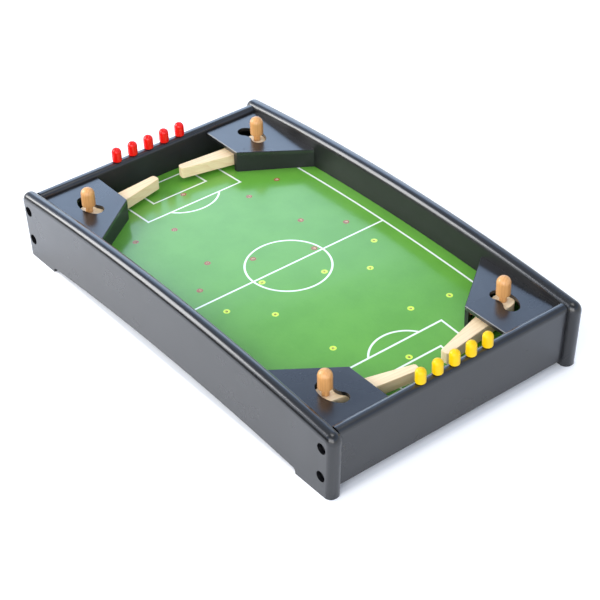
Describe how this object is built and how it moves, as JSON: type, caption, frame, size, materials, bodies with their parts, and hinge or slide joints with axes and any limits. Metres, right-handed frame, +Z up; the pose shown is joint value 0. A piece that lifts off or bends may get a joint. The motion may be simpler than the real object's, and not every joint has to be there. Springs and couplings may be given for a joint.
{
  "type": "tabletop football game",
  "caption": "Tabletop football tray with an arched pitch, corner flippers worked by knobs, and team pegs in the end boards.",
  "frame": {"origin": "middle of the footprint, on the surface that the feet stand on", "axes": "+X along the length towards the yellow pegs, +Y across the width towards the far side board, +Z up"},
  "size_m": [0.5028, 0.299, 0.088],
  "materials": {
    "black_satin_paint": "satin black lacquer on wood",
    "pitch_green": "printed green board with a light gloss",
    "raw_wood": "unpainted softwood",
    "pale_beech": "sanded pale beech",
    "turned_beech": "turned beech, waxed",
    "zinc_steel": "zinc plated",
    "black_steel": "blackened steel",
    "red_lacquer": "glossy red lacquer",
    "yellow_lacquer": "satin yellow lacquer"
  },
  "bodies": {
    "tray": {"playing_field": "pitch_green", "side_board_near": "black_satin_paint", "side_board_far": "black_satin_paint", "end_board_red": "black_satin_paint", "end_board_yellow": "black_satin_paint", "side_screws": "black_steel", "corner_top_red_near": "black_satin_paint", "corner_top_yellow_near": "black_satin_paint", "corner_top_red_far": "black_satin_paint", "corner_top_yellow_far": "black_satin_paint", "corner_wall_red_near": "black_satin_paint", "corner_wall_yellow_near": "black_satin_paint", "corner_wall_red_far": "black_satin_paint", "corner_wall_yellow_far": "black_satin_paint", "corner_batten_red_near": "raw_wood", "corner_batten_yellow_near": "raw_wood", "corner_batten_red_far": "raw_wood", "corner_batten_yellow_far": "raw_wood", "corner_cleat_red_near": "raw_wood", "corner_cleat_yellow_near": "raw_wood", "corner_cleat_red_far": "raw_wood", "corner_cleat_yellow_far": "raw_wood", "corner_brads": "zinc_steel", "pivot_pins": "zinc_steel", "flipper_washers": "zinc_steel"},
    "flipper_red_near": {"flipper_red_near": "pale_beech", "knob_red_near": "turned_beech"},
    "flipper_red_far": {"flipper_red_far": "pale_beech", "knob_red_far": "turned_beech"},
    "flipper_yellow_near": {"flipper_yellow_near": "pale_beech", "knob_yellow_near": "turned_beech"},
    "flipper_yellow_far": {"flipper_yellow_far": "pale_beech", "knob_yellow_far": "turned_beech"},
    "red_peg_1": {"red_peg_1": "red_lacquer"},
    "red_peg_2": {"red_peg_2": "red_lacquer"},
    "red_peg_3": {"red_peg_3": "red_lacquer"},
    "red_peg_4": {"red_peg_4": "red_lacquer"},
    "red_peg_5": {"red_peg_5": "red_lacquer"},
    "yellow_peg_1": {"yellow_peg_1": "yellow_lacquer"},
    "yellow_peg_2": {"yellow_peg_2": "yellow_lacquer"},
    "yellow_peg_3": {"yellow_peg_3": "yellow_lacquer"},
    "yellow_peg_4": {"yellow_peg_4": "yellow_lacquer"},
    "yellow_peg_5": {"yellow_peg_5": "yellow_lacquer"}
  },
  "joints": [
    {"name": "flipper_red_near_swing", "type": "hinge", "parent": "tray", "child": "flipper_red_near", "pos_m": [-0.193, -0.0875, 0.05], "axis": [0, 0, 1], "range_deg": [-16, 17]},
    {"name": "flipper_red_far_swing", "type": "hinge", "parent": "tray", "child": "flipper_red_far", "pos_m": [-0.193, 0.0875, 0.05], "axis": [0, 0, 1], "range_deg": [-17, 16]},
    {"name": "flipper_yellow_near_swing", "type": "hinge", "parent": "tray", "child": "flipper_yellow_near", "pos_m": [0.193, -0.0875, 0.05], "axis": [0, 0, 1], "range_deg": [-14, 19]},
    {"name": "flipper_yellow_far_swing", "type": "hinge", "parent": "tray", "child": "flipper_yellow_far", "pos_m": [0.193, 0.0875, 0.05], "axis": [0, 0, 1], "range_deg": [-19, 14]},
    {"name": "red_peg_1_lift", "type": "slide", "parent": "tray", "child": "red_peg_1", "axis": [0, 0, 1], "range_m": [0, 0.03]},
    {"name": "red_peg_2_lift", "type": "slide", "parent": "tray", "child": "red_peg_2", "axis": [0, 0, 1], "range_m": [0, 0.03]},
    {"name": "red_peg_3_lift", "type": "slide", "parent": "tray", "child": "red_peg_3", "axis": [0, 0, 1], "range_m": [0, 0.03]},
    {"name": "red_peg_4_lift", "type": "slide", "parent": "tray", "child": "red_peg_4", "axis": [0, 0, 1], "range_m": [0, 0.03]},
    {"name": "red_peg_5_lift", "type": "slide", "parent": "tray", "child": "red_peg_5", "axis": [0, 0, 1], "range_m": [0, 0.03]},
    {"name": "yellow_peg_1_lift", "type": "slide", "parent": "tray", "child": "yellow_peg_1", "axis": [0, 0, 1], "range_m": [0, 0.03]},
    {"name": "yellow_peg_2_lift", "type": "slide", "parent": "tray", "child": "yellow_peg_2", "axis": [0, 0, 1], "range_m": [0, 0.03]},
    {"name": "yellow_peg_3_lift", "type": "slide", "parent": "tray", "child": "yellow_peg_3", "axis": [0, 0, 1], "range_m": [0, 0.03]},
    {"name": "yellow_peg_4_lift", "type": "slide", "parent": "tray", "child": "yellow_peg_4", "axis": [0, 0, 1], "range_m": [0, 0.03]},
    {"name": "yellow_peg_5_lift", "type": "slide", "parent": "tray", "child": "yellow_peg_5", "axis": [0, 0, 1], "range_m": [0, 0.03]}
  ]
}
